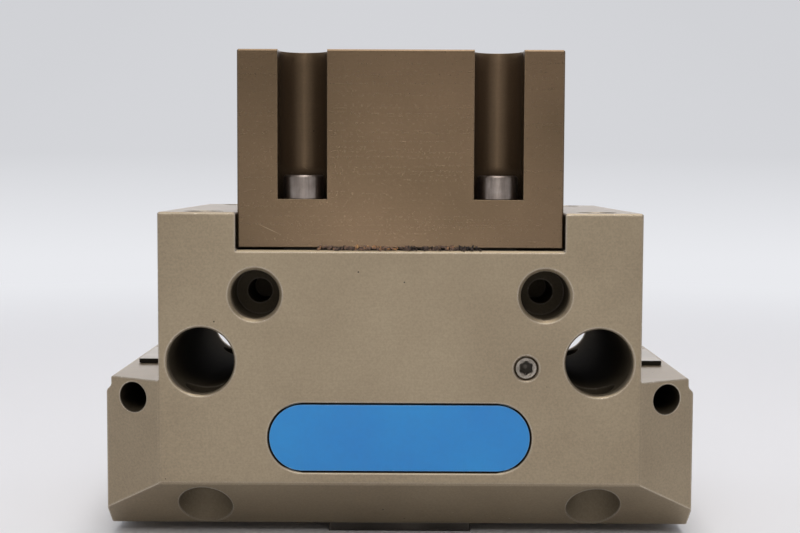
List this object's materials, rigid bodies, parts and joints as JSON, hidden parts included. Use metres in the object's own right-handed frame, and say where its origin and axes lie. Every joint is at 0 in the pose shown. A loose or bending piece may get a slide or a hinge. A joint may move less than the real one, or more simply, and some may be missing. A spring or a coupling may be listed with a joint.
{
  "type": "parallel gripper",
  "caption": "Parallel gripper with sliding finger blocks on wedge-driven base jaws, in a flanged block housing with sensor bores and a flat mounting face with a locating tongue.",
  "frame": {"origin": "centre of the locating tongue's foot, on the piston axis, 2.2 mm below the mounting face", "axes": "+Z out of the mounting face towards the fingers, +X along the width of the side flanges, Y along the jaw travel with the plate on the -Y face"},
  "size_m": [0.125, 0.075, 0.1036],
  "materials": {
    "hard_anodised_aluminium": "matt taupe hard anodised",
    "bronze_anodised_aluminium": "matt brown hard anodised",
    "hardened_steel": "ground, lightly oiled",
    "ground_steel": "ground",
    "bright_screw_steel": "bright, knurled sides",
    "plug_steel": "dull",
    "spring_steel": "phosphated",
    "turned_aluminium": "turned and anodised",
    "clamp_aluminium": "matt anodised",
    "dark_steel": "blackened",
    "seal_rubber": "nitrile",
    "blue_plate": "satin blue, blank"
  },
  "bodies": {
    "body": {"housing": "hard_anodised_aluminium", "rod_seal": "seal_rubber", "cylinder_cover": "turned_aluminium", "cover_seal": "seal_rubber", "cover_retaining_ring": "spring_steel", "locating_tongue": "dark_steel", "tongue_screws": "dark_steel", "rating_plate": "blue_plate", "passage_plugs": "plug_steel", "left_sensor_clamp": "clamp_aluminium", "right_sensor_clamp": "clamp_aluminium", "sensor_clamp_screws": "bright_screw_steel", "opening_springs": "spring_steel"},
    "front_jaw": {"front_base_jaw": "hardened_steel", "front_finger_block": "bronze_anodised_aluminium", "front_finger_screws": "bright_screw_steel", "front_locating_sleeves": "ground_steel"},
    "rear_jaw": {"rear_base_jaw": "hardened_steel", "rear_finger_block": "bronze_anodised_aluminium", "rear_finger_screws": "bright_screw_steel", "rear_locating_sleeves": "ground_steel"},
    "drive": {"wedge_hook": "hardened_steel", "piston": "turned_aluminium", "piston_seal": "seal_rubber", "piston_screw": "ground_steel"}
  },
  "joints": [
    {"name": "front_jaw_slide", "type": "slide", "parent": "body", "child": "front_jaw", "axis": [0, 1, 0], "range_m": [0, 0.006], "stiffness_N_per_m": 400, "springref_m": -0.004},
    {"name": "rear_jaw_slide", "type": "slide", "parent": "body", "child": "rear_jaw", "axis": [0, -1, 0], "range_m": [0, 0.006]},
    {"name": "piston_slide", "type": "slide", "parent": "body", "child": "drive", "axis": [0, 0, -1], "range_m": [0, 0.012], "deforming": ["opening_springs"]}
  ],
  "couplings": [
    {"joint": "rear_jaw_slide", "follows": "front_jaw_slide", "ratio": 1},
    {"joint": "piston_slide", "follows": "front_jaw_slide", "ratio": 2}
  ]
}
